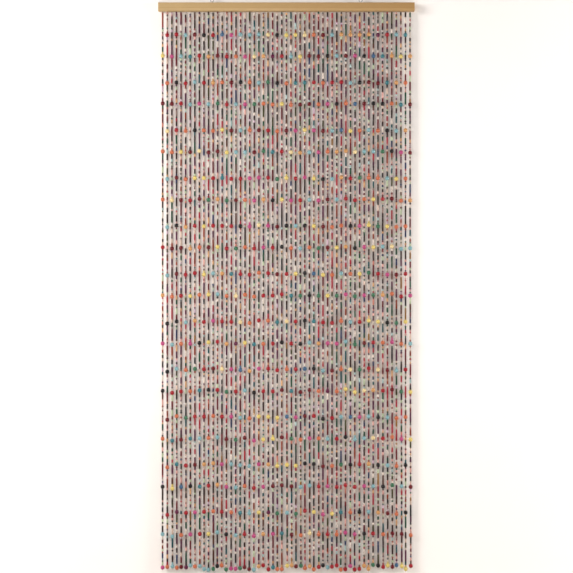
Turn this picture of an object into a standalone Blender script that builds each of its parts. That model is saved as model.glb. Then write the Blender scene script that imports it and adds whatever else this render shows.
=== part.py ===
"""Wooden bead door curtain: a wooden bar with two screw eyes and 55 hanging strings of beads.

Metres, +Z up. X runs to the viewer's right and the front faces -Y. The origin is midway between
the holes of the two screw eyes, which hang on hooks above a doorway.
"""
import math
import random

import bmesh
import bpy

# Wooden bar
BAR_LENGTH = 0.900
BAR_DEPTH = 0.020
BAR_HEIGHT = 0.030
BAR_EDGE = 0.0012

# Screw eyes of bent steel wire. The bend from the shank to the ring is given as shares of the
# neck's height and of the ring's radius.
EYE_SPACING = 0.522
EYE_WIRE = 0.0026
EYE_HOLE = 0.0088
EYE_NECK = 0.0032
EYE_SHANK = 0.014
EYE_BORE_SIDES = 12
WIRE_RESOLUTION = 2
SMOOTH_BELOW = math.radians(50)
BEND_START = 0.3
BEND_OUT = 0.22
BEND_UP = 1.1
RING_START = math.radians(-50)
RING_END = math.radians(248)
RING_STEPS = 14

# Strings of beads, with depths counted down from the bar's top. FIRST_BEAD has the depth on the
# even strings, then on the odd ones.
STRING_COUNT = 55
STRING_PITCH = 0.0161
STRINGS_A_STRIP = 11
DROP = 2.000
TUBE_RADIUS = 0.0031
BEAD_RADIUS = 0.0072
BEADS_A_STRING = 11
BEAD_PITCH = 0.168
FIRST_BEAD = (0.187, 0.112)
BEAD_DRIFT = 0.0018
END_LIFT = 0.018
SWAY = 0.0014
WAVE = 0.0020
WAVE_STRINGS = 23
STRING_SEED = 940
STRING_RESOLUTION = 0

# Strip in the bar's underside that the strings hang from
STRIP_WIDTH = 0.008
STRIP_HEIGHT = 0.004

GAP = 0.0003
WELD = 0.00001
CURVE_BEVEL = 0.001

# Places worked out from the sizes above
EYE_PLACES = {"left": -EYE_SPACING / 2, "right": EYE_SPACING / 2}
RING_RADIUS = (EYE_HOLE + EYE_WIRE) / 2
BAR_TOP = -(RING_RADIUS + EYE_WIRE / 2 + EYE_NECK)
BAR_BOTTOM = BAR_TOP - BAR_HEIGHT


def clear_scene():
    """Remove the objects that the scene starts with."""
    for item in list(bpy.data.objects):
        bpy.data.objects.remove(item, do_unlink=True)


def new_collection(name):
    """Add a collection to the scene."""
    collection = bpy.data.collections.new(name)
    bpy.context.scene.collection.children.link(collection)
    return collection


def finish(name, colour, roughness, metallic=0.0):
    """Make a plain material for one kind of piece."""
    material = bpy.data.materials.new(name)
    material.use_nodes = True
    shader = material.node_tree.nodes["Principled BSDF"]
    shader.inputs["Base Color"].default_value = (*colour, 1.0)
    shader.inputs["Roughness"].default_value = roughness
    shader.inputs["Metallic"].default_value = metallic
    return material


def mesh_object(name, mesh, collection, material=None):
    """Put a mesh in a collection as an object; a cutter has no material."""
    item = bpy.data.objects.new(name, mesh)
    collection.objects.link(item)
    if material is None:
        item.hide_render = True
        item.display_type = "WIRE"
    else:
        mesh.materials.append(material)
    return item


def box_mesh(name, size):
    """Make a box mesh of the given size about its own centre."""
    mesh = bpy.data.meshes.new(name)
    form = bmesh.new()
    bmesh.ops.create_cube(form, size=1.0)
    bmesh.ops.scale(form, vec=size, verts=form.verts)
    form.to_mesh(mesh)
    form.free()
    return mesh


def bore_mesh(name, radius, length):
    """Make an upright many-sided bore cutter whose flats clear the radius."""
    mesh = bpy.data.meshes.new(name)
    form = bmesh.new()
    corner_radius = radius / math.cos(math.pi / EYE_BORE_SIDES)
    bmesh.ops.create_cone(form, cap_ends=True, segments=EYE_BORE_SIDES,
                          radius1=corner_radius, radius2=corner_radius, depth=length)
    form.to_mesh(mesh)
    form.free()
    return mesh


def swept_mesh(name, routes, bevel_resolution):
    """Sweep wires along routes of (x, y, z, radius) rows and weld them into closed meshes."""
    curve = bpy.data.curves.new(name, "CURVE")
    curve.dimensions = "3D"
    curve.bevel_depth = CURVE_BEVEL
    curve.bevel_resolution = bevel_resolution
    curve.use_fill_caps = True
    for route in routes:
        spline = curve.splines.new("POLY")
        spline.points.add(len(route) - 1)
        for point, (x, y, z, radius) in zip(spline.points, route):
            point.co = (x, y, z, 1.0)
            point.radius = radius / CURVE_BEVEL
    guide = bpy.data.objects.new(name + "_guide", curve)
    bpy.context.scene.collection.objects.link(guide)
    bpy.context.view_layer.update()
    seen = guide.evaluated_get(bpy.context.evaluated_depsgraph_get())
    mesh = bpy.data.meshes.new_from_object(seen)
    mesh.name = name
    bpy.data.objects.remove(guide, do_unlink=True)
    form = bmesh.new()
    form.from_mesh(mesh)
    bmesh.ops.remove_doubles(form, verts=form.verts, dist=WELD)
    form.to_mesh(mesh)
    form.free()
    return mesh


def boolean(item, other, operation):
    """Cut another object from a piece, or join it on."""
    modifier = item.modifiers.new(other.name, "BOOLEAN")
    modifier.object = other
    modifier.operation = operation
    modifier.solver = "EXACT"


def string_x(index):
    """Give the place of a string along the bar."""
    return (index - (STRING_COUNT - 1) / 2) * STRING_PITCH


def string_route(index):
    """Give a string's rings from its root in the strip down to its end bead.

    Each string leans a little more the lower it hangs, and its beads drift from their rows
    as the small differences in the tubes between them add up.
    """
    draw = random.Random(STRING_SEED + index)
    lean_x = draw.uniform(-SWAY, SWAY) + WAVE * math.sin(2 * math.pi * index / WAVE_STRINGS)
    lean_y = draw.uniform(-SWAY, SWAY)
    bead_depths = []
    drift = 0.0
    for row in range(BEADS_A_STRING):
        drift += draw.uniform(-BEAD_DRIFT, BEAD_DRIFT)
        bead_depths.append(FIRST_BEAD[index % 2] + row * BEAD_PITCH + drift)
    bead_depths.append(DROP - BEAD_RADIUS - draw.uniform(0.0, END_LIFT))

    rings = [(BAR_HEIGHT - STRIP_HEIGHT / 2, TUBE_RADIUS)]
    for depth in bead_depths:
        rings.append((depth - BEAD_RADIUS, TUBE_RADIUS))
        rings.append((depth, BEAD_RADIUS))
        rings.append((depth + BEAD_RADIUS, TUBE_RADIUS))
    route = []
    for depth, radius in rings:
        swing = (depth / DROP) ** 2
        route.append((string_x(index) + lean_x * swing, lean_y * swing, BAR_TOP - depth, radius))
    return route


def eye_route(x):
    """Give the wire's route for a screw eye: up the shank, out to one side and round the ring."""
    radius = EYE_WIRE / 2
    route = [(x, 0.0, BAR_TOP - EYE_SHANK, radius)]
    route.append((x, 0.0, BAR_TOP + EYE_NECK * BEND_START, radius))
    route.append((x + RING_RADIUS * BEND_OUT, 0.0, BAR_TOP + EYE_NECK * BEND_UP, radius))
    for step in range(RING_STEPS + 1):
        angle = RING_START + (RING_END - RING_START) * step / RING_STEPS
        route.append((x + RING_RADIUS * math.cos(angle), 0.0, RING_RADIUS * math.sin(angle), radius))
    return route


def build_eyes(parts, steel):
    """Make the two screw eyes."""
    for side, x in EYE_PLACES.items():
        name = "screw_eye_" + side
        mesh = swept_mesh(name, [eye_route(x)], WIRE_RESOLUTION)
        item = mesh_object(name, mesh, parts, steel)
        item.data.shade_smooth()
        item.data.set_sharp_from_angle(angle=SMOOTH_BELOW)


def build_bar(parts, cutters, wood):
    """Make the bar with a groove below for the strip and two bores above for the screw eyes."""
    bar = mesh_object("bar", box_mesh("bar", (BAR_LENGTH, BAR_DEPTH, BAR_HEIGHT)), parts, wood)
    bar.location = (0.0, 0.0, (BAR_TOP + BAR_BOTTOM) / 2)
    edges = bar.modifiers.new("worn_edges", "BEVEL")
    edges.width = BAR_EDGE
    edges.segments = 2

    groove_length = STRING_COUNT * STRING_PITCH + GAP
    groove_width = STRIP_WIDTH + 2 * GAP
    groove_depth = STRIP_HEIGHT + GAP
    groove_mesh = box_mesh("groove", (groove_length, groove_width, 2 * groove_depth))
    groove = mesh_object("groove", groove_mesh, cutters)
    groove.location = (0.0, 0.0, BAR_BOTTOM)
    boolean(bar, groove, "DIFFERENCE")

    bore_depth = EYE_SHANK + GAP
    bore_radius = EYE_WIRE / 2 + GAP
    for side in ("left", "right"):
        bore_name = "bore_" + side
        bore = mesh_object(bore_name, bore_mesh(bore_name, bore_radius, 2 * bore_depth), cutters)
        bore.location = (EYE_PLACES[side], 0.0, BAR_TOP)
        boolean(bar, bore, "DIFFERENCE")


def build_strings(parts, cutters, wood):
    """Make the strings in groups, each group fused at its roots into its own length of strip."""
    for group in range(STRING_COUNT // STRINGS_A_STRIP):
        members = range(group * STRINGS_A_STRIP, (group + 1) * STRINGS_A_STRIP)
        name = "strings_" + str(group + 1)
        length = STRINGS_A_STRIP * STRING_PITCH - GAP
        strip = mesh_object(name, box_mesh(name, (length, STRIP_WIDTH, STRIP_HEIGHT)), parts, wood)
        middle = (string_x(members[0]) + string_x(members[-1])) / 2
        strip.location = (middle, 0.0, BAR_BOTTOM + STRIP_HEIGHT / 2)
        routes = [string_route(index) for index in members]
        hanging_mesh = swept_mesh(name + "_hanging", routes, STRING_RESOLUTION)
        hanging = mesh_object(name + "_hanging", hanging_mesh, cutters)
        boolean(strip, hanging, "UNION")


def main():
    """Build the whole curtain."""
    clear_scene()
    parts = new_collection("wooden_door_curtain")
    cutters = new_collection("cutters")
    pine = finish("oiled_pine", (0.56, 0.36, 0.16), 0.45)
    steel = finish("zinc_plated_steel", (0.60, 0.60, 0.61), 0.30, 1.0)
    beads = finish("stained_wood_beads", (0.11, 0.07, 0.06), 0.50)
    build_bar(parts, cutters, pine)
    build_eyes(parts, steel)
    build_strings(parts, cutters, beads)


main()
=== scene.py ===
"""Looks of a wooden bead door curtain.

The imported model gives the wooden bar, its two screw eyes and 55 plain strings in five groups. This
script gives the bar and the eyes their finish, threads every string with stained tubes, small round
beads and large lacquered beads, and sets the curtain before a plain wall in soft light.
Everything is in metres in the model's own frame: +Z up, and the front faces -Y.
"""
from __future__ import annotations

import logging
import math
import random
from dataclasses import dataclass, field
from enum import Enum
from typing import Any, Iterable, Optional

import bpy
import numpy as np
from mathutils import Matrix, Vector

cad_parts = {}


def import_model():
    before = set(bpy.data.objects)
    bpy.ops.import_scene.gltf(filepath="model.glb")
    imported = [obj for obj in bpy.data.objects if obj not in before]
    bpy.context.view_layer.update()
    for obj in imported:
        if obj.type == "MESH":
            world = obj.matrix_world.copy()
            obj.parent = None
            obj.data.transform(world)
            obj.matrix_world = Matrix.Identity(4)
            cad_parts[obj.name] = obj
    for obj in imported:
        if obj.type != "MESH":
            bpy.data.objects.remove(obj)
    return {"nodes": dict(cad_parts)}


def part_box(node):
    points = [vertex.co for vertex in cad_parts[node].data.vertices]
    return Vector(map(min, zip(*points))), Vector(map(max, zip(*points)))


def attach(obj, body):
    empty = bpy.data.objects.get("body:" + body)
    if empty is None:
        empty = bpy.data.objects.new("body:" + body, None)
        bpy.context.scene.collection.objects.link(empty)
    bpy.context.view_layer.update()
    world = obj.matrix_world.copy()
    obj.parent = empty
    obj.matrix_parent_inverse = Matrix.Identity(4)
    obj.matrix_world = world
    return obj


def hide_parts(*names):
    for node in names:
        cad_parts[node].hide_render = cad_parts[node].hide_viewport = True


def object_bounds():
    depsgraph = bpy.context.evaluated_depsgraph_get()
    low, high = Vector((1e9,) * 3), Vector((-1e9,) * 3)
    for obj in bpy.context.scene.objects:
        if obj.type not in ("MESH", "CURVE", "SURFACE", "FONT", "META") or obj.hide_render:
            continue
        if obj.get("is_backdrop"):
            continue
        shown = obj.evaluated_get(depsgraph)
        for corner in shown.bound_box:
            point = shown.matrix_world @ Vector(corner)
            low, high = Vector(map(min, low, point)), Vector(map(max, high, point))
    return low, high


LOG = logging.getLogger("bead_curtain")
MM = 0.001
Colour = tuple[float, float, float]
Point = tuple[float, float, float]

# Sockets of a Mix node for colours, which share their names with its other sockets.
COLOUR_A = 6
COLOUR_B = 7
MIXED = 2
# A Wave texture's bands and rings are this far apart at scale 1.
WAVE_SPACING = 2 * math.pi / 20
# Most of a Noise texture's values lie between these.
NOISE_LOW = 0.3
NOISE_HIGH = 0.7
WOOD_IOR = 1.5
# The mesh attribute that holds each bead's colour, with its chance number as alpha.
BEAD_COLOUR = "bead_colour"
# Points closer than this become one.
MERGE_DISTANCE = 0.01 * MM
# Faces that meet at less than this are shaded as one round surface.
SMOOTH_BELOW = math.radians(50)
GROUPS = 5


def linear(hex_colour: str) -> Colour:
    """Turn an sRGB hex colour into linear red, green and blue.

    Args:
        hex_colour: Six hex digits after a hash sign.

    Returns:
        The three linear values.
    """
    values = []
    for start in (1, 3, 5):
        share = int(hex_colour[start:start + 2], 16) / 255
        values.append(share / 12.92 if share <= 0.04045 else ((share + 0.055) / 1.055) ** 2.4)
    return values[0], values[1], values[2]


def add_node(
    tree: bpy.types.NodeTree,
    kind: str,
    settings: Optional[dict[str, Any]] = None,
    inputs: Optional[dict[Any, Any]] = None,
) -> bpy.types.Node:
    """Add a node with its settings, and fill or link its inputs.

    Args:
        tree: The node tree that takes the node.
        kind: The node's type name.
        settings: Properties of the node by name.
        inputs: Values or output sockets by the input's name or number.

    Returns:
        The new node.
    """
    made = tree.nodes.new(kind)
    for name, value in (settings or {}).items():
        setattr(made, name, value)
    for key, value in (inputs or {}).items():
        if isinstance(value, bpy.types.NodeSocket):
            tree.links.new(value, made.inputs[key])
        else:
            made.inputs[key].default_value = value
    return made


def new_material(name: str) -> tuple[bpy.types.Material, bpy.types.Node]:
    """Make a material that has a shader and nothing else.

    Args:
        name: The material's name.

    Returns:
        The material and its Principled shader.
    """
    material = bpy.data.materials.new(name)
    material.use_nodes = True
    return material, material.node_tree.nodes["Principled BSDF"]


def select_only(thing: bpy.types.Object) -> None:
    """Make one object the only selected and the active one.

    Args:
        thing: The object to select.
    """
    bpy.ops.object.select_all(action="DESELECT")
    thing.select_set(True)
    bpy.context.view_layer.objects.active = thing


def take_new(name: str) -> bpy.types.Object:
    """Name the object that an operator has just added.

    Args:
        name: The new object's name.

    Returns:
        The object.
    """
    thing = bpy.context.active_object
    thing.name = name
    thing.data.name = name
    return thing


def apply_place(thing: bpy.types.Object) -> None:
    """Move an object's place, turn and scale into its mesh.

    Args:
        thing: The object.
    """
    select_only(thing)
    bpy.ops.object.transform_apply(location=True, rotation=True, scale=True)


def apply_modifier(thing: bpy.types.Object, kind: str, settings: dict[str, Any]) -> None:
    """Add a modifier and apply it.

    Args:
        thing: The object.
        kind: The modifier's type name.
        settings: The modifier's properties by name.
    """
    select_only(thing)
    modifier = thing.modifiers.new(kind.lower(), kind)
    for name, value in settings.items():
        setattr(modifier, name, value)
    bpy.ops.object.modifier_apply(modifier=modifier.name)


def join_all(target: bpy.types.Object, others: list[bpy.types.Object]) -> None:
    """Join objects into one of them.

    Args:
        target: The object that takes in the others.
        others: The objects that are used up.
    """
    select_only(target)
    for other in others:
        other.select_set(True)
    bpy.ops.object.join()


def merge_points(thing: bpy.types.Object) -> None:
    """Merge the points of a mesh that lie in one place, which closes its wires' ends.

    Args:
        thing: The object.
    """
    select_only(thing)
    bpy.ops.object.mode_set(mode="EDIT")
    bpy.ops.mesh.select_all(action="SELECT")
    bpy.ops.mesh.remove_doubles(threshold=MERGE_DISTANCE)
    bpy.ops.object.mode_set(mode="OBJECT")


def sweep(
    name: str, routes: list[list[Iterable[float]]], radius: float, resolution: int,
) -> bpy.types.Object:
    """Sweep round wires along routes, as one mesh.

    Args:
        name: The object's name.
        routes: The points of each wire.
        radius: The wires' radius.
        resolution: Half the number of sides past four.

    Returns:
        The object, whose end caps are still loose.
    """
    curve = bpy.data.curves.new(name, "CURVE")
    curve.dimensions = "3D"
    curve.bevel_depth = radius
    curve.bevel_resolution = resolution
    curve.use_fill_caps = True
    for route in routes:
        spline = curve.splines.new("POLY")
        spline.points.add(len(route) - 1)
        for target, point in zip(spline.points, route):
            target.co = (*point, 1.0)
    thing = bpy.data.objects.new(name, curve)
    bpy.context.scene.collection.objects.link(thing)
    select_only(thing)
    bpy.ops.object.convert(target="MESH")
    return thing


class Stain(Enum):
    """Stains of the dark tubes and small beads, as sRGB."""

    ESPRESSO = "#2A1614"
    CHARCOAL = "#221C1F"
    PLUM = "#481534"
    BURGUNDY = "#580E1A"
    CHERRY = "#8C1A2C"
    OLIVE = "#3A361A"
    BOTTLE = "#143C28"
    INK = "#20284A"
    PETROL = "#184248"
    RUST = "#762C16"
    WALNUT = "#482618"
    OCHRE = "#7E5824"


class Natural(Enum):
    """Bleached, natural and lightly tinted wood of the pale spacers, as sRGB."""

    BLEACHED = "#C6BAB0"
    BIRCH = "#BCA698"
    BLUSH = "#C4968E"
    SAGE = "#A6B294"
    HONEY = "#BA9068"
    LILAC = "#B49CAA"
    DRIFTWOOD = "#8E7A72"
    CORAL = "#B27062"
    AQUA = "#98AEAC"


class Lacquer(Enum):
    """Lacquers of the large beads, as sRGB."""

    WINE = "#5C0C16"
    RED = "#8E1622"
    ORANGE = "#B26244"
    AMBER = "#BA8A58"
    YELLOW = "#C8B468"
    CREAM = "#D0BC8C"
    MAGENTA = "#A64472"
    MULBERRY = "#541638"
    SKY = "#769CA2"
    TEAL = "#366C74"
    BLUE = "#3C5A78"
    GREEN = "#38664C"
    BLACK = "#100C0E"


@dataclass(frozen=True)
class Mix:
    """A choice of colours and how often each is drawn."""

    colours: tuple[Enum, ...]
    shares: tuple[float, ...]

    def draw(self, dice: random.Random) -> Colour:
        """Draw one colour.

        Args:
            dice: The source of chance.

        Returns:
            The colour as linear values.
        """
        return linear(dice.choices(self.colours, self.shares)[0].value)


STAINED = Mix(tuple(Stain), (0.21, 0.09, 0.13, 0.16, 0.08, 0.05, 0.09, 0.04, 0.04, 0.06, 0.04, 0.01))
PALE = Mix(tuple(Natural), (0.24, 0.18, 0.16, 0.12, 0.10, 0.05, 0.07, 0.04, 0.04))
LACQUERED = Mix(
    tuple(Lacquer),
    (0.10, 0.16, 0.12, 0.06, 0.08, 0.03, 0.10, 0.01, 0.13, 0.04, 0.02, 0.06, 0.09),
)


@dataclass(frozen=True)
class PineFinish:
    """Pine that was planed, sanded and oiled: long growth lines and a satin, honey-coloured face.

    The growth rings run about the tree's heart, which lies beside the bar's axis. They waver slowly
    along the bar, whose length counts only by waver_along there.
    """

    name: str = "oiled_pine"
    early_wood: str = "#C2A980"
    late_wood: str = "#A28552"
    # Painted shade: the colour the wood is multiplied by at the bar's right end, where the light
    # falls off.
    right_end_shade: str = "#EEDECB"
    half_length: float = 450 * MM
    ring_spacing: float = 2.6 * MM
    fibre_width: float = 0.5 * MM
    fibre_length: float = 45 * MM
    heart_offset: tuple[float, float] = (21 * MM, 34 * MM)
    ring_waver: float = 5.0
    waver_along: float = 0.035
    waver_detail: float = 3.0
    waver_scale: float = 0.25
    fibre_detail: float = 4.0
    dark_fibre: float = 0.86
    light_fibre: float = 1.10
    roughness: float = 0.45
    duller: float = 0.08
    shinier: float = 0.06
    relief: float = 0.15 * MM
    relief_strength: float = 0.35

    def material(self) -> bpy.types.Material:
        """Make the material, with growth rings about an axis that runs along the bar.

        Returns:
            The material.
        """
        material, shader = new_material(self.name)
        tree = material.node_tree
        place = add_node(tree, "ShaderNodeTexCoord")
        along = add_node(tree, "ShaderNodeMapping", inputs={
            "Vector": place.outputs["Object"],
            "Location": (0.0, *self.heart_offset),
            "Scale": (self.waver_along, 1.0, 1.0),
        })
        rings = add_node(tree, "ShaderNodeTexWave", {
            "wave_type": "RINGS", "rings_direction": "X", "wave_profile": "SAW",
        }, {
            "Vector": along.outputs["Vector"],
            "Scale": WAVE_SPACING / self.ring_spacing,
            "Distortion": self.ring_waver,
            "Detail": self.waver_detail,
            "Detail Scale": self.waver_scale,
        })
        stretch = add_node(tree, "ShaderNodeMapping", inputs={
            "Vector": place.outputs["Object"],
            "Scale": (1 / self.fibre_length, 1 / self.fibre_width, 1 / self.fibre_width),
        })
        fibres = add_node(tree, "ShaderNodeTexNoise", inputs={
            "Vector": stretch.outputs["Vector"],
            "Scale": 1.0,
            "Detail": self.fibre_detail,
        })
        growth = add_node(tree, "ShaderNodeMix", {"data_type": "RGBA"}, {
            "Factor": rings.outputs["Fac"],
            COLOUR_A: (*linear(self.early_wood), 1.0),
            COLOUR_B: (*linear(self.late_wood), 1.0),
        })
        streak = add_node(tree, "ShaderNodeMapRange", inputs={
            "Value": fibres.outputs["Fac"],
            "From Min": NOISE_LOW,
            "From Max": NOISE_HIGH,
            "To Min": self.dark_fibre,
            "To Max": self.light_fibre,
        })
        colour = add_node(tree, "ShaderNodeMix", {"data_type": "RGBA", "blend_type": "MULTIPLY"}, {
            "Factor": 1.0,
            COLOUR_A: growth.outputs[MIXED],
            COLOUR_B: streak.outputs["Result"],
        })
        # Painted shade: the wood is drawn a little warmer and darker towards the bar's right end,
        # where the light falls off.
        length = add_node(tree, "ShaderNodeSeparateXYZ", inputs={"Vector": place.outputs["Object"]})
        share = add_node(tree, "ShaderNodeMapRange", inputs={
            "Value": length.outputs["X"],
            "From Min": -self.half_length,
            "From Max": self.half_length,
        })
        painted_falloff = add_node(tree, "ShaderNodeMix", {"data_type": "RGBA"}, {
            "Factor": share.outputs["Result"],
            COLOUR_A: (1.0, 1.0, 1.0, 1.0),
            COLOUR_B: (*linear(self.right_end_shade), 1.0),
        })
        falloff_shaded_wood = add_node(tree, "ShaderNodeMix", {"data_type": "RGBA", "blend_type": "MULTIPLY"}, {
            "Factor": 1.0,
            COLOUR_A: colour.outputs[MIXED],
            COLOUR_B: painted_falloff.outputs[MIXED],
        })
        gloss = add_node(tree, "ShaderNodeMapRange", inputs={
            "Value": fibres.outputs["Fac"],
            "To Min": self.roughness + self.duller,
            "To Max": self.roughness - self.shinier,
        })
        bump = add_node(tree, "ShaderNodeBump", inputs={
            "Strength": self.relief_strength,
            "Distance": self.relief,
            "Height": fibres.outputs["Fac"],
        })
        tree.links.new(falloff_shaded_wood.outputs[MIXED], shader.inputs["Base Color"])
        tree.links.new(gloss.outputs["Result"], shader.inputs["Roughness"])
        tree.links.new(bump.outputs["Normal"], shader.inputs["Normal"])
        shader.inputs["IOR"].default_value = WOOD_IOR
        return material


@dataclass(frozen=True)
class ZincFinish:
    """Zinc-plated steel wire that was drawn and bent: a cool, slightly cloudy grey shine."""

    name: str = "zinc_plated_steel"
    bright: str = "#C3C5C8"
    clouded: str = "#8E9196"
    cloud_size: float = 2.5 * MM
    cloud_detail: float = 5.0
    roughness: float = 0.30
    shinier: float = 0.08
    duller: float = 0.12

    def material(self) -> bpy.types.Material:
        """Make the material.

        Returns:
            The material.
        """
        material, shader = new_material(self.name)
        tree = material.node_tree
        place = add_node(tree, "ShaderNodeTexCoord")
        clouds = add_node(tree, "ShaderNodeTexNoise", inputs={
            "Vector": place.outputs["Object"],
            "Scale": 1 / self.cloud_size,
            "Detail": self.cloud_detail,
        })
        colour = add_node(tree, "ShaderNodeMix", {"data_type": "RGBA"}, {
            "Factor": clouds.outputs["Fac"],
            COLOUR_A: (*linear(self.bright), 1.0),
            COLOUR_B: (*linear(self.clouded), 1.0),
        })
        gloss = add_node(tree, "ShaderNodeMapRange", inputs={
            "Value": clouds.outputs["Fac"],
            "To Min": self.roughness - self.shinier,
            "To Max": self.roughness + self.duller,
        })
        tree.links.new(colour.outputs[MIXED], shader.inputs["Base Color"])
        tree.links.new(gloss.outputs["Result"], shader.inputs["Roughness"])
        shader.inputs["Metallic"].default_value = 1.0
        return material


@dataclass(frozen=True)
class BeadFinish:
    """Turned wood that was stained or lacquered: each bead's own colour over a fine upright grain.

    The colour comes from a mesh attribute, whose alpha shifts the grain, so that no two beads have
    the same streaks.
    """

    name: str
    grain_width: float
    grain_length: float
    dark_streak: float
    light_streak: float
    roughness: float
    specular: float
    coat: float
    relief: float
    grain_detail: float = 3.0
    gloss_swing: float = 0.06
    relief_strength: float = 0.3
    coat_roughness: float = 0.12

    def material(self) -> bpy.types.Material:
        """Make the material.

        Returns:
            The material.
        """
        material, shader = new_material(self.name)
        tree = material.node_tree
        place = add_node(tree, "ShaderNodeTexCoord")
        bead = add_node(tree, "ShaderNodeAttribute", {"attribute_name": BEAD_COLOUR})
        # Numbered inputs, as both have one name.
        shifted = add_node(tree, "ShaderNodeVectorMath", {"operation": "ADD"}, {
            0: place.outputs["Object"],
            1: bead.outputs["Alpha"],
        })
        stretch = add_node(tree, "ShaderNodeMapping", inputs={
            "Vector": shifted.outputs["Vector"],
            "Scale": (1 / self.grain_width, 1 / self.grain_width, 1 / self.grain_length),
        })
        grain = add_node(tree, "ShaderNodeTexNoise", inputs={
            "Vector": stretch.outputs["Vector"],
            "Scale": 1.0,
            "Detail": self.grain_detail,
        })
        streak = add_node(tree, "ShaderNodeMapRange", inputs={
            "Value": grain.outputs["Fac"],
            "From Min": NOISE_LOW,
            "From Max": NOISE_HIGH,
            "To Min": self.dark_streak,
            "To Max": self.light_streak,
        })
        colour = add_node(tree, "ShaderNodeMix", {"data_type": "RGBA", "blend_type": "MULTIPLY"}, {
            "Factor": 1.0,
            COLOUR_A: bead.outputs["Color"],
            COLOUR_B: streak.outputs["Result"],
        })
        gloss = add_node(tree, "ShaderNodeMapRange", inputs={
            "Value": grain.outputs["Fac"],
            "To Min": self.roughness + self.gloss_swing,
            "To Max": self.roughness - self.gloss_swing,
        })
        bump = add_node(tree, "ShaderNodeBump", inputs={
            "Strength": self.relief_strength,
            "Distance": self.relief,
            "Height": grain.outputs["Fac"],
        })
        tree.links.new(colour.outputs[MIXED], shader.inputs["Base Color"])
        tree.links.new(gloss.outputs["Result"], shader.inputs["Roughness"])
        tree.links.new(bump.outputs["Normal"], shader.inputs["Normal"])
        shader.inputs["IOR"].default_value = WOOD_IOR
        shader.inputs["Specular IOR Level"].default_value = self.specular
        shader.inputs["Coat Weight"].default_value = self.coat
        shader.inputs["Coat Roughness"].default_value = self.coat_roughness
        return material


# Tubes stained through and waxed: soft sheen and visible streaks.
STAINED_WOOD = BeadFinish(
    name="stained_wood", grain_width=0.45 * MM, grain_length=7 * MM, dark_streak=0.72,
    light_streak=1.22, roughness=0.48, specular=0.2, coat=0.0, relief=0.12 * MM,
)
# Small round beads, stained or left natural, with a thin varnish.
VARNISHED_WOOD = BeadFinish(
    name="varnished_wood", grain_width=0.5 * MM, grain_length=4 * MM, dark_streak=0.80,
    light_streak=1.14, roughness=0.40, specular=0.3, coat=0.1, relief=0.08 * MM,
)
# Large beads dipped in coloured lacquer: even colour, smooth and satin.
LACQUERED_WOOD = BeadFinish(
    name="lacquered_wood", grain_width=0.9 * MM, grain_length=6 * MM, dark_streak=0.93,
    light_streak=1.05, roughness=0.30, specular=0.25, coat=0.06, relief=0.03 * MM,
)


@dataclass(frozen=True)
class ThreadFinish:
    """Twisted nylon thread: off-white with a soft shine, and a fine twist along it, drawn as bands
    of painted light and painted shade.
    """

    name: str = "nylon_thread"
    bright: str = "#E5E0D6"
    shaded: str = "#B9B2A4"
    twist: float = 1.2 * MM
    roughness: float = 0.5

    def material(self) -> bpy.types.Material:
        """Make the material.

        Returns:
            The material.
        """
        material, shader = new_material(self.name)
        tree = material.node_tree
        place = add_node(tree, "ShaderNodeTexCoord")
        twist_light_and_shade = add_node(tree, "ShaderNodeTexWave", {"bands_direction": "DIAGONAL"}, {
            "Vector": place.outputs["Object"],
            "Scale": WAVE_SPACING / self.twist,
        })
        # Painted light and shade: the twist's ridges take the bright colour and its grooves the
        # shaded one.
        colour = add_node(tree, "ShaderNodeMix", {"data_type": "RGBA"}, {
            "Factor": twist_light_and_shade.outputs["Fac"],
            COLOUR_A: (*linear(self.shaded), 1.0),
            COLOUR_B: (*linear(self.bright), 1.0),
        })
        tree.links.new(colour.outputs[MIXED], shader.inputs["Base Color"])
        shader.inputs["Roughness"].default_value = self.roughness
        return material


@dataclass(frozen=True)
class PaintFinish:
    """Matt emulsion paint on the studio's floor or wall, barely mottled by the roller."""

    name: str
    colour: str
    one_sided: bool = False
    mottle: float = 0.02
    marks_a_metre: float = 3.0
    roughness: float = 0.9

    def material(self) -> bpy.types.Material:
        """Make the material; a one-sided wall lets the curtain be seen from behind it.

        Returns:
            The material.
        """
        material, shader = new_material(self.name)
        tree = material.node_tree
        place = add_node(tree, "ShaderNodeTexCoord")
        roller = add_node(tree, "ShaderNodeTexNoise", inputs={
            "Vector": place.outputs["Object"],
            "Scale": self.marks_a_metre,
        })
        light = add_node(tree, "ShaderNodeMapRange", inputs={
            "Value": roller.outputs["Fac"],
            "To Min": 1.0 - self.mottle,
            "To Max": 1.0 + self.mottle,
        })
        colour = add_node(tree, "ShaderNodeMix", {"data_type": "RGBA", "blend_type": "MULTIPLY"}, {
            "Factor": 1.0,
            COLOUR_A: (*linear(self.colour), 1.0),
            COLOUR_B: light.outputs["Result"],
        })
        tree.links.new(colour.outputs[MIXED], shader.inputs["Base Color"])
        shader.inputs["Roughness"].default_value = self.roughness
        if self.one_sided:
            side = add_node(tree, "ShaderNodeNewGeometry")
            clear = add_node(tree, "ShaderNodeBsdfTransparent")
            either = add_node(tree, "ShaderNodeMixShader", inputs={
                0: side.outputs["Backfacing"],
                1: shader.outputs["BSDF"],
                2: clear.outputs["BSDF"],
            })
            tree.links.new(either.outputs["Shader"], tree.nodes["Material Output"].inputs["Surface"])
        return material


@dataclass
class Bead:
    """One bead or tube on a string."""

    depth: float
    length: float
    girth: float
    colour: Colour
    chance: float


@dataclass
class Shape:
    """The points and faces of one bead, modelled once and then copied."""

    points: np.ndarray
    faces: list[tuple[int, ...]]
    length: float

    @classmethod
    def taken_from(cls, thing: bpy.types.Object) -> "Shape":
        """Take the mesh of a finished object and remove the object.

        A new sphere lists its faces in another order each run, so they are sorted.

        Args:
            thing: The modelled bead, about the origin with its hole along Z.

        Returns:
            The shape.
        """
        points = np.array([corner.co for corner in thing.data.vertices])
        faces = sorted(tuple(face.vertices) for face in thing.data.polygons)
        bpy.data.objects.remove(thing, do_unlink=True)
        return cls(points, faces, float(np.ptp(points[:, 2])))


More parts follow.
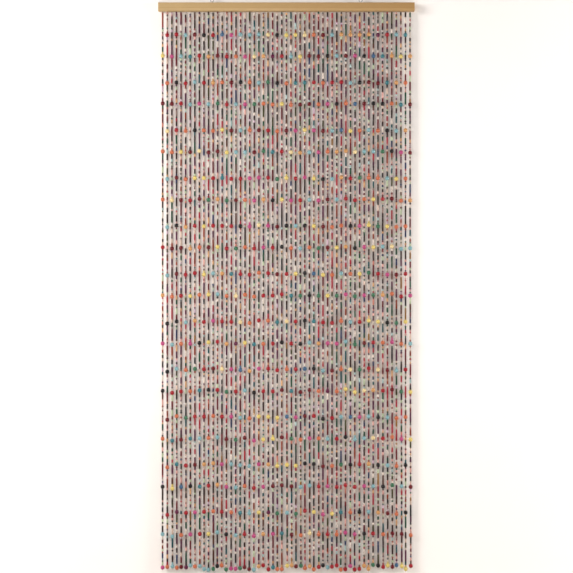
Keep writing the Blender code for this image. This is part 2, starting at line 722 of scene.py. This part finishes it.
@dataclass
class BeadMaker:
    """Models the three shapes that repeat: a tube, a small round bead and a large one."""

    tube_radius: float = 3.3 * MM
    tube_length: float = 20 * MM
    tube_edge: float = 0.35 * MM
    tube_sides: int = 8
    small_radius: float = 3.4 * MM
    small_sides: int = 8
    small_rings: int = 6
    large_radius: float = 7.2 * MM
    large_sides: int = 12
    large_rings: int = 8
    pole_share: float = 0.999

    def tube(self) -> Shape:
        """Turn a tube whose sawn ends are eased.

        Returns:
            The tube's shape.
        """
        bpy.ops.object.select_all(action="DESELECT")
        bpy.ops.mesh.primitive_cylinder_add(
            vertices=self.tube_sides, radius=self.tube_radius, depth=self.tube_length)
        thing = take_new("tube_shape")
        bpy.ops.object.mode_set(mode="EDIT")
        bpy.ops.mesh.select_all(action="DESELECT")
        bpy.ops.object.mode_set(mode="OBJECT")
        for edge in thing.data.edges:
            heights = [thing.data.vertices[corner].co.z for corner in edge.vertices]
            edge.select = abs(heights[0] - heights[1]) < self.tube_edge
        bpy.ops.object.mode_set(mode="EDIT")
        bpy.ops.mesh.bevel(offset=self.tube_edge, segments=1)
        bpy.ops.object.mode_set(mode="OBJECT")
        return Shape.taken_from(thing)

    def round_bead(self, radius: float, sides: int, rings: int) -> Shape:
        """Turn a round bead with a small flat at each end, where its hole is drilled.

        Args:
            radius: The bead's radius.
            sides: Its number of sides.
            rings: Its number of rings from pole to pole.

        Returns:
            The bead's shape.
        """
        bpy.ops.object.select_all(action="DESELECT")
        bpy.ops.mesh.primitive_uv_sphere_add(segments=sides, ring_count=rings, radius=radius)
        thing = take_new("bead_shape")
        bpy.ops.object.mode_set(mode="EDIT")
        bpy.ops.mesh.select_mode(type="VERT")
        bpy.ops.mesh.select_all(action="DESELECT")
        bpy.ops.object.mode_set(mode="OBJECT")
        for corner in thing.data.vertices:
            corner.select = abs(corner.co.z) > radius * self.pole_share
        bpy.ops.object.mode_set(mode="EDIT")
        # The triangles round each pole become one flat face.
        bpy.ops.mesh.dissolve_verts()
        bpy.ops.object.mode_set(mode="OBJECT")
        return Shape.taken_from(thing)

    def small(self) -> Shape:
        """Make the small round bead.

        Returns:
            The bead's shape.
        """
        return self.round_bead(self.small_radius, self.small_sides, self.small_rings)

    def large(self) -> Shape:
        """Make the large round bead.

        Returns:
            The bead's shape.
        """
        return self.round_bead(self.large_radius, self.large_sides, self.large_rings)


@dataclass
class StringLine:
    """One string: how it hangs and where its large beads are.

    The draws repeat the model's own, in the same order, so the beads lie on its solids.
    """

    index: int
    bar_top: float
    bar_height: float = 30 * MM
    count: int = 55
    pitch: float = 16.1 * MM
    drop: float = 2.000
    bead_radius: float = 7.2 * MM
    beads_a_string: int = 11
    bead_pitch: float = 0.168
    first_bead: tuple[float, float] = (0.187, 0.112)
    bead_drift: float = 1.8 * MM
    end_lift: float = 18 * MM
    sway: float = 1.4 * MM
    wave: float = 2.0 * MM
    wave_strings: int = 23
    string_seed: int = 940
    lean: tuple[float, float] = field(init=False)
    large_depths: list[float] = field(init=False)

    def __post_init__(self) -> None:
        """Work out how the string leans and where its large beads hang."""
        draw = random.Random(self.string_seed + self.index)
        swing = self.wave * math.sin(2 * math.pi * self.index / self.wave_strings)
        lean_x = draw.uniform(-self.sway, self.sway) + swing
        lean_y = draw.uniform(-self.sway, self.sway)
        self.lean = (lean_x, lean_y)
        self.large_depths = []
        drift = 0.0
        for row in range(self.beads_a_string):
            drift += draw.uniform(-self.bead_drift, self.bead_drift)
            self.large_depths.append(self.first_bead[self.index % 2] + row * self.bead_pitch + drift)
        self.large_depths.append(self.drop - self.bead_radius - draw.uniform(0.0, self.end_lift))

    def place(self, depth: float) -> Point:
        """Give the string's point at a depth below the bar's top.

        Args:
            depth: The depth.

        Returns:
            The point.
        """
        swing = (depth / self.drop) ** 2
        x = (self.index - (self.count - 1) / 2) * self.pitch
        return x + self.lean[0] * swing, self.lean[1] * swing, self.bar_top - depth

    def slope(self, depth: float) -> tuple[float, float]:
        """Give how far the string goes sideways for each metre that it rises.

        Args:
            depth: The depth below the bar's top.

        Returns:
            The slope across and the slope front to back.
        """
        share = -2 * depth / self.drop ** 2
        return self.lean[0] * share, self.lean[1] * share


class Cut(Enum):
    """Pieces that fill a string between its large beads.

    Each has its length, its width as a share of the modelled shape's, how often it is drawn, and
    how many are threaded in a row.
    """

    STAINED_BEAD = (6.4 * MM, 1.0, 0.33, 1)
    STAINED_ROUND = (7.6 * MM, 1.15, 0.08, 1)
    STAINED_STUB = (11 * MM, 1.0, 0.20, 1)
    STAINED_SHORT = (16 * MM, 1.0, 0.15, 1)
    STAINED_TUBE = (22 * MM, 1.0, 0.11, 1)
    STAINED_LONG = (31 * MM, 1.0, 0.08, 1)
    STAINED_LONGER = (40 * MM, 1.0, 0.05, 1)
    PALE_BEAD = (6.4 * MM, 1.0, 0.30, 1)
    PALE_PAIR = (6.4 * MM, 1.0, 0.20, 2)
    PALE_ROUND = (8.2 * MM, 1.22, 0.16, 1)
    PALE_STUB = (10 * MM, 1.0, 0.20, 1)
    PALE_SHORT = (14 * MM, 1.0, 0.11, 1)
    PALE_TUBE = (21 * MM, 1.0, 0.06, 1)

    @property
    def length(self) -> float:
        """Give the piece's length."""
        return self.value[0]

    @property
    def girth(self) -> float:
        """Give the piece's width, as a share of the modelled shape's."""
        return self.value[1]

    @property
    def share(self) -> float:
        """Give how often the piece is drawn."""
        return self.value[2]

    @property
    def repeat(self) -> int:
        """Give how many are threaded in a row."""
        return self.value[3]

    @property
    def stained(self) -> bool:
        """Tell whether the piece is a dark one."""
        return self.name.startswith("STAINED")

    @property
    def rounded(self) -> bool:
        """Tell whether the piece is a small round bead."""
        return self.name.endswith(("BEAD", "PAIR", "ROUND"))


@dataclass
class Threading:
    """The beads of one string, sorted into tubes, small beads and large beads."""

    line: StringLine
    seed: int = 7300
    play: float = 0.25 * MM
    top_slack: float = 5 * MM
    least_slack: float = 0.2
    again_stained: float = 0.21
    stained_first: float = 0.65
    matching: float = 0.25
    longest_match: float = 9 * MM
    shades: tuple[float, float] = (0.80, 1.12)
    girths: tuple[float, float] = (0.93, 1.0)
    large_girths: tuple[float, float] = (0.97, 1.02)
    tubes: list[Bead] = field(default_factory=list)
    small: list[Bead] = field(default_factory=list)
    large: list[Bead] = field(default_factory=list)

    def run(self) -> None:
        """Thread the whole string from the bar down to its end bead."""
        dice = random.Random(self.seed + self.line.index)
        radius = self.line.bead_radius
        top = self.line.bar_height + dice.uniform(self.least_slack, 1.0) * self.top_slack
        for depth in self.line.large_depths:
            colour = LACQUERED.draw(dice)
            match = colour if dice.random() < self.matching else None
            self.fill(top, depth - radius, match, dice)
            girth = dice.uniform(*self.large_girths)
            self.large.append(Bead(depth, 2 * radius, girth, colour, dice.random()))
            top = depth + radius

    def pick(self, stained: bool, room: float, dice: random.Random) -> Optional[Cut]:
        """Pick the next piece that fits.

        Args:
            stained: Whether a dark piece is wanted.
            room: The length that is left.
            dice: The source of chance.

        Returns:
            The piece, or nothing where none fits.
        """
        fitting = [cut for cut in Cut if cut.stained == stained and cut.length * cut.repeat < room]
        if not fitting:
            return None
        return dice.choices(fitting, [cut.share for cut in fitting])[0]

    def fill(self, top: float, bottom: float, match: Optional[Colour], dice: random.Random) -> None:
        """Fill a stretch with dark and pale pieces in turn.

        Args:
            top: The stretch's upper depth.
            bottom: Its lower depth.
            match: A colour for a short last piece, as the large bead below has, or nothing.
            dice: The source of chance.
        """
        cuts: list[Cut] = []
        room = bottom - top
        stained = dice.random() < self.stained_first
        while True:
            cut = self.pick(stained, room, dice)
            if cut is None:
                break
            cuts.extend([cut] * cut.repeat)
            room -= (cut.length + self.play) * cut.repeat
            stained = not stained or dice.random() < self.again_stained
        tubes = [cut for cut in cuts if not cut.rounded]
        extra = room / len(tubes) if tubes else 0.0
        depth = top if tubes else top + room
        for number, cut in enumerate(cuts, 1):
            length = cut.length + (0.0 if cut.rounded else extra)
            matched = number == len(cuts) and length < self.longest_match
            self.thread(cut, depth + length / 2, length, match if matched else None, dice)
            depth += length + self.play

    def thread(
        self, cut: Cut, depth: float, length: float, match: Optional[Colour], dice: random.Random,
    ) -> None:
        """Put one piece on the string.

        Args:
            cut: The kind of piece.
            depth: The depth of its middle.
            length: Its length.
            match: Its colour, or nothing to draw one.
            dice: The source of chance.
        """
        mix = STAINED if cut.stained else PALE
        shade = dice.uniform(*self.shades)
        colour = match or mix.draw(dice)
        shaded = (colour[0] * shade, colour[1] * shade, colour[2] * shade)
        girth = dice.uniform(*self.girths) * cut.girth
        kind = self.small if cut.rounded else self.tubes
        kind.append(Bead(depth, length, girth, shaded, dice.random()))


@dataclass
class BeadMesh:
    """Copies one shape along the strings as a single joined mesh, with a colour for each bead."""

    name: str
    shape: Shape

    def build(self, rows: Iterable[tuple[StringLine, Bead]]) -> bpy.types.Object:
        """Make the joined mesh.

        Args:
            rows: Each bead with the string that it hangs on.

        Returns:
            The object.
        """
        points: list[np.ndarray] = []
        faces: list[tuple[int, ...]] = []
        colours: list[np.ndarray] = []
        for line, bead in rows:
            start = len(points) * len(self.shape.points)
            points.append(self.placed(line, bead))
            faces.extend(tuple(corner + start for corner in face) for face in self.shape.faces)
            colours.append(np.tile((*bead.colour, bead.chance), (len(self.shape.points), 1)))
        mesh = bpy.data.meshes.new(self.name)
        mesh.from_pydata(np.concatenate(points).tolist(), [], faces)
        attribute = mesh.attributes.new(BEAD_COLOUR, "FLOAT_COLOR", "POINT")
        attribute.data.foreach_set("color", np.concatenate(colours).astype(np.float32).ravel())
        mesh.shade_smooth()
        mesh.set_sharp_from_angle(angle=SMOOTH_BELOW)
        thing = bpy.data.objects.new(self.name, mesh)
        bpy.context.scene.collection.objects.link(thing)
        return thing

    def placed(self, line: StringLine, bead: Bead) -> np.ndarray:
        """Turn, stretch and lean the shape to its place on a string.

        Args:
            line: The string.
            bead: The bead.

        Returns:
            The bead's points.
        """
        spin = bead.chance * 2 * math.pi
        x, y, z = self.shape.points.T
        height = z + np.sign(z) * (bead.length - self.shape.length) / 2
        across = (x * math.cos(spin) - y * math.sin(spin)) * bead.girth
        front = (x * math.sin(spin) + y * math.cos(spin)) * bead.girth
        lean_x, lean_y = line.slope(bead.depth)
        centre = line.place(bead.depth)
        return np.stack((
            centre[0] + across + lean_x * height,
            centre[1] + front + lean_y * height,
            centre[2] + height,
        ), axis=1)


@dataclass
class StringGroup:
    """Eleven strings that hang from one length of strip, in the place of one model node."""

    number: int
    bar_top: float
    strings: int = 11
    thread_radius: float = 0.5 * MM
    thread_resolution: int = 1
    thread_points: int = 24
    tail: float = 5 * MM
    knot_radius: float = 1.1 * MM
    knot_thickness: float = 0.75 * MM
    knot_steps: int = 10
    knot_sides: int = 6
    knot_tilt: float = 0.35
    strip_width: float = 8 * MM
    strip_gap: float = 0.3 * MM
    strip_edge: float = 0.5 * MM
    hole_radius: float = 1.4 * MM
    hole_sides: int = 16
    threadings: list[Threading] = field(default_factory=list)

    @property
    def node(self) -> str:
        """Give the model node's name."""
        return f"strings_{self.number}"

    def thread_beads(self) -> None:
        """Work out what hangs on each string."""
        first = (self.number - 1) * self.strings
        for index in range(first, first + self.strings):
            threading = Threading(StringLine(index, self.bar_top))
            threading.run()
            self.threadings.append(threading)

    def build(
        self, shapes: dict[str, Shape], finishes: dict[str, bpy.types.Material],
    ) -> list[bpy.types.Object]:
        """Make all the pieces of the group.

        Args:
            shapes: The bead shapes by name.
            finishes: The materials by name.

        Returns:
            The pieces.
        """
        self.thread_beads()
        made = []
        for kind in ("tubes", "small", "large"):
            rows = [(one.line, bead) for one in self.threadings for bead in getattr(one, kind)]
            thing = BeadMesh(f"{self.node}_{kind}", shapes[kind]).build(rows)
            thing.data.materials.append(finishes[kind])
            made.append(thing)
        for thing, finish in ((self.thread(), "thread"), (self.strip(), "pine")):
            thing.data.materials.append(finishes[finish])
            made.append(thing)
        for thing in made:
            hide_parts(self.node)
            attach(thing, "root")
        return made

    def thread(self) -> bpy.types.Object:
        """Sweep the threads, and tie each below its end bead with a knot and a short tail.

        Returns:
            The threads and knots as one mesh.
        """
        routes = []
        knots = []
        for one in self.threadings:
            line = one.line
            top = line.bar_height - self.knot_radius
            bottom = line.large_depths[-1] + line.bead_radius + self.knot_radius
            length = bottom + self.tail - top
            steps = self.thread_points - 1
            routes.append([line.place(top + length * step / steps) for step in range(steps + 1)])
            knots.append(line.place(bottom))
        thing = sweep(f"{self.node}_thread", routes, self.thread_radius, self.thread_resolution)
        join_all(thing, [self.knot(place, turn) for turn, place in enumerate(knots)])
        merge_points(thing)
        bpy.ops.object.shade_smooth()
        return thing

    def knot(self, place: Point, turn: int) -> bpy.types.Object:
        """Coil a knot of thread round a point.

        Args:
            place: The knot's middle.
            turn: The knot's number, which turns it its own way.

        Returns:
            The knot.
        """
        tilt = (self.knot_tilt * math.sin(turn), self.knot_tilt * math.cos(turn), turn)
        bpy.ops.object.select_all(action="DESELECT")
        bpy.ops.mesh.primitive_torus_add(
            location=place, rotation=tilt,
            major_segments=self.knot_steps, minor_segments=self.knot_sides,
            major_radius=self.knot_radius, minor_radius=self.knot_thickness)
        thing = take_new("knot")
        apply_place(thing)
        return thing

    def strip(self) -> bpy.types.Object:
        """Make the slip of pine in the bar's groove, drilled for each thread.

        Returns:
            The strip.
        """
        lines = [one.line for one in self.threadings]
        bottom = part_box("bar")[0].z
        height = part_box(self.node)[1].z - bottom
        length = len(lines) * lines[0].pitch - self.strip_gap
        middle = (lines[0].place(0)[0] + lines[-1].place(0)[0]) / 2
        bpy.ops.object.select_all(action="DESELECT")
        bpy.ops.mesh.primitive_cube_add(size=1.0, location=(middle, 0.0, bottom + height / 2))
        thing = take_new(f"{self.node}_strip")
        thing.scale = (length, self.strip_width, height)
        apply_place(thing)
        apply_modifier(thing, "BEVEL", {"width": self.strip_edge, "segments": 2})
        drills = []
        for line in lines:
            bpy.ops.object.select_all(action="DESELECT")
            bpy.ops.mesh.primitive_cylinder_add(
                vertices=self.hole_sides, radius=self.hole_radius, depth=3 * height,
                location=line.place(line.bar_height))
            drills.append(take_new("drill"))
        join_all(drills[0], drills[1:])
        apply_modifier(thing, "BOOLEAN", {"object": drills[0], "operation": "DIFFERENCE"})
        bpy.data.objects.remove(drills[0], do_unlink=True)
        return thing


@dataclass
class ScrewEye:
    """A finer wire over the model's screw eye, on the same route."""

    side: str
    wire: float = 2.6 * MM
    hole: float = 8.8 * MM
    ring_start: float = math.radians(-50)
    ring_end: float = math.radians(248)
    ring_steps: int = 40
    bend_start: float = 0.3
    bend_out: float = 0.22
    bend_up: float = 1.1
    shank_point: float = 1 * MM
    resolution: int = 4

    def build(self, finish: bpy.types.Material) -> bpy.types.Object:
        """Sweep the wire.

        Args:
            finish: The steel.

        Returns:
            The screw eye.
        """
        node = f"screw_eye_{self.side}"
        low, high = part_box(node)
        bar_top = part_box("bar")[1].z
        ring = (self.hole + self.wire) / 2
        centre = Vector(((low.x + high.x) / 2, 0.0, high.z - ring - self.wire / 2))
        neck = centre.z - ring - self.wire / 2 - bar_top
        bend = [
            (0.0, low.z),
            (0.0, bar_top - self.shank_point),
            (0.0, bar_top + neck * self.bend_start),
            (ring * self.bend_out, bar_top + neck * self.bend_up),
        ]
        points = [Vector((centre.x + across, 0.0, up)) for across, up in bend]
        for step in range(self.ring_steps + 1):
            angle = self.ring_start + (self.ring_end - self.ring_start) * step / self.ring_steps
            points.append(centre + ring * Vector((math.cos(angle), 0.0, math.sin(angle))))
        thing = sweep(f"{node}_wire", [points], self.wire / 2, self.resolution)
        merge_points(thing)
        bpy.ops.object.shade_smooth_by_angle(angle=SMOOTH_BELOW)
        thing.data.materials.append(finish)
        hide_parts(node)
        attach(thing, "root")
        return thing


@dataclass
class HangingBar:
    """The wooden bar, which keeps the model's own solid."""

    node: bpy.types.Object

    def dress(self, finish: bpy.types.Material) -> bpy.types.Object:
        """Give the bar its wood.

        Args:
            finish: The pine.

        Returns:
            The bar.
        """
        self.node.data.materials.clear()
        self.node.data.materials.append(finish)
        return self.node


@dataclass(frozen=True)
class Lamp:
    """A square soft light, with the length of its side, its watts and the angle of its beam."""

    name: str
    place: Point
    aim: Point
    size: float
    power: float
    spread: float = math.pi

    def hang(self, colour: Colour) -> None:
        """Hang the light where the camera doesn't see it.

        Args:
            colour: The light's colour.
        """
        data = bpy.data.lights.new(self.name, "AREA")
        data.shape = "SQUARE"
        data.size = self.size
        data.energy = self.power
        data.spread = self.spread
        data.color = colour
        thing = bpy.data.objects.new(self.name, data)
        way = Vector(self.aim) - Vector(self.place)
        thing.location = self.place
        thing.rotation_euler = way.to_track_quat("-Z", "Y").to_euler()
        thing.visible_camera = False
        bpy.context.scene.collection.objects.link(thing)


LAMPS = (
    # From the left and above the bar, which shades the tops of the strings.
    Lamp("key", place=(-3.7, -1.92, 0.5), aim=(0.0, 0.0, -0.55), size=1.7, power=205.0),
    # Softens the middle from the front.
    Lamp("front", place=(-0.5, -1.25, -0.85), aim=(-0.35, 0.0, -0.85), size=0.9, power=7.2),
    # From the right, mostly on the wall beside the curtain.
    Lamp("side", place=(3.4, -0.8, -0.5), aim=(0.8, 0.0, -1.0), size=1.4, power=135.0),
    # On the curtain's back.
    Lamp("back", place=(0.5, 2.6, -0.9), aim=(0.0, 0.0, -0.9), size=1.5, power=9.0,
         spread=math.radians(100)),
    # On the open floor, with a beam too narrow to reach the curtain.
    Lamp("room", place=(0.0, -4.4, 1.3), aim=(0.0, -4.4, -2.0), size=1.5, power=50.0,
         spread=math.radians(100)),
)


@dataclass
class Studio:
    """A plain wall, floor and pale sky, soft lights, and the camera square on to the curtain."""

    bar_top: float
    bottom: float
    wall: PaintFinish = PaintFinish("wall_paint", "#F6F3F1", one_sided=True)
    floor: PaintFinish = PaintFinish("floor_paint", "#DAD6D0")
    wall_gap: float = 4 * MM
    floor_gap: float = 30 * MM
    floor_size: float = 5.0
    camera_distance: float = 4.0
    frame_pixels: float = 573.0
    pixel_size: float = 3.515 * MM
    bar_top_row: float = 3.0
    bar_middle_column: float = 286.35
    sensor: float = 36.0
    lamp_colour: str = "#FFFAF6"
    sky_colour: str = "#F1F1F0"
    sky_light: float = 0.10
    sky_look: float = 0.85

    def plane(
        self, name: str, finish: PaintFinish, middle: Point, turn: float = 0.0,
    ) -> bpy.types.Object:
        """Lay or stand a big painted square.

        Args:
            name: The square's name.
            finish: Its paint.
            middle: Its middle.
            turn: Its turn about X.

        Returns:
            The square.
        """
        bpy.ops.object.select_all(action="DESELECT")
        bpy.ops.mesh.primitive_plane_add(
            size=self.floor_size, location=middle, rotation=(turn, 0.0, 0.0))
        thing = take_new(name)
        apply_place(thing)
        thing.data.materials.append(finish.material())
        thing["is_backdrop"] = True
        return thing

    def camera(self) -> None:
        """Set the camera so that the curtain fills the frame as in the photograph."""
        half_frame = self.frame_pixels / 2
        height = self.bar_top - (half_frame - self.bar_top_row) * self.pixel_size
        across = (half_frame - self.bar_middle_column) * self.pixel_size
        data = bpy.data.cameras.new("camera")
        data.sensor_width = self.sensor
        data.lens = self.sensor / 2 * self.camera_distance / (half_frame * self.pixel_size)
        thing = bpy.data.objects.new("camera", data)
        thing.location = (across, -self.camera_distance, height)
        thing.rotation_euler = (math.pi / 2, 0.0, 0.0)
        bpy.context.scene.collection.objects.link(thing)
        bpy.context.scene.camera = thing

    def build(self) -> None:
        """Set up the stage, the lights, the sky and the camera."""
        half = self.floor_size / 2
        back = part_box("bar")[1].y + self.wall_gap
        ground = self.bottom - self.floor_gap
        wall = self.plane("wall", self.wall, (0.0, back, ground + half), math.pi / 2)
        # The wall casts no shadow, so that the lamp behind it lights the curtain's back.
        wall.visible_shadow = False
        self.plane("floor", self.floor, (0.0, back - half, ground))
        for lamp in LAMPS:
            lamp.hang(linear(self.lamp_colour))
        self.sky()
        bpy.context.scene.view_settings.view_transform = "Standard"
        self.camera()

    def sky(self) -> None:
        """Surround the studio with a pale sky that gives only a little light."""
        world = bpy.data.worlds.new("studio")
        world.use_nodes = True
        tree = world.node_tree
        path = add_node(tree, "ShaderNodeLightPath")
        strength = add_node(tree, "ShaderNodeMapRange", inputs={
            "Value": path.outputs["Is Camera Ray"],
            "To Min": self.sky_light,
            "To Max": self.sky_look,
        })
        sky = tree.nodes["Background"]
        sky.inputs["Color"].default_value = (*linear(self.sky_colour), 1.0)
        tree.links.new(strength.outputs["Result"], sky.inputs["Strength"])
        bpy.context.scene.world = world


def main() -> None:
    """Dress the whole curtain and set the studio."""
    logging.basicConfig(level=logging.INFO, format="%(message)s")
    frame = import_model()
    model_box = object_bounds()
    bpy.ops.object.select_all(action="DESELECT")
    bar_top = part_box("bar")[1].z

    Studio(bar_top, model_box[0].z).build()
    LOG.info("studio: wall, floor, lights and camera")

    finishes = {
        "pine": PineFinish().material(),
        "steel": ZincFinish().material(),
        "tubes": STAINED_WOOD.material(),
        "small": VARNISHED_WOOD.material(),
        "large": LACQUERED_WOOD.material(),
        "thread": ThreadFinish().material(),
    }
    bar = HangingBar(frame["nodes"]["bar"]).dress(finishes["pine"])
    LOG.info("bar: %s", bar.name)
    for side in ("left", "right"):
        eye = ScrewEye(side).build(finishes["steel"])
        LOG.info("screw eye: %s", eye.name)

    maker = BeadMaker()
    shapes = {"tubes": maker.tube(), "small": maker.small(), "large": maker.large()}
    for number in range(1, GROUPS + 1):
        for piece in StringGroup(number, bar_top).build(shapes, finishes):
            LOG.info("strings: %s with %d faces", piece.name, len(piece.data.polygons))


if __name__ == "__main__":
    main()
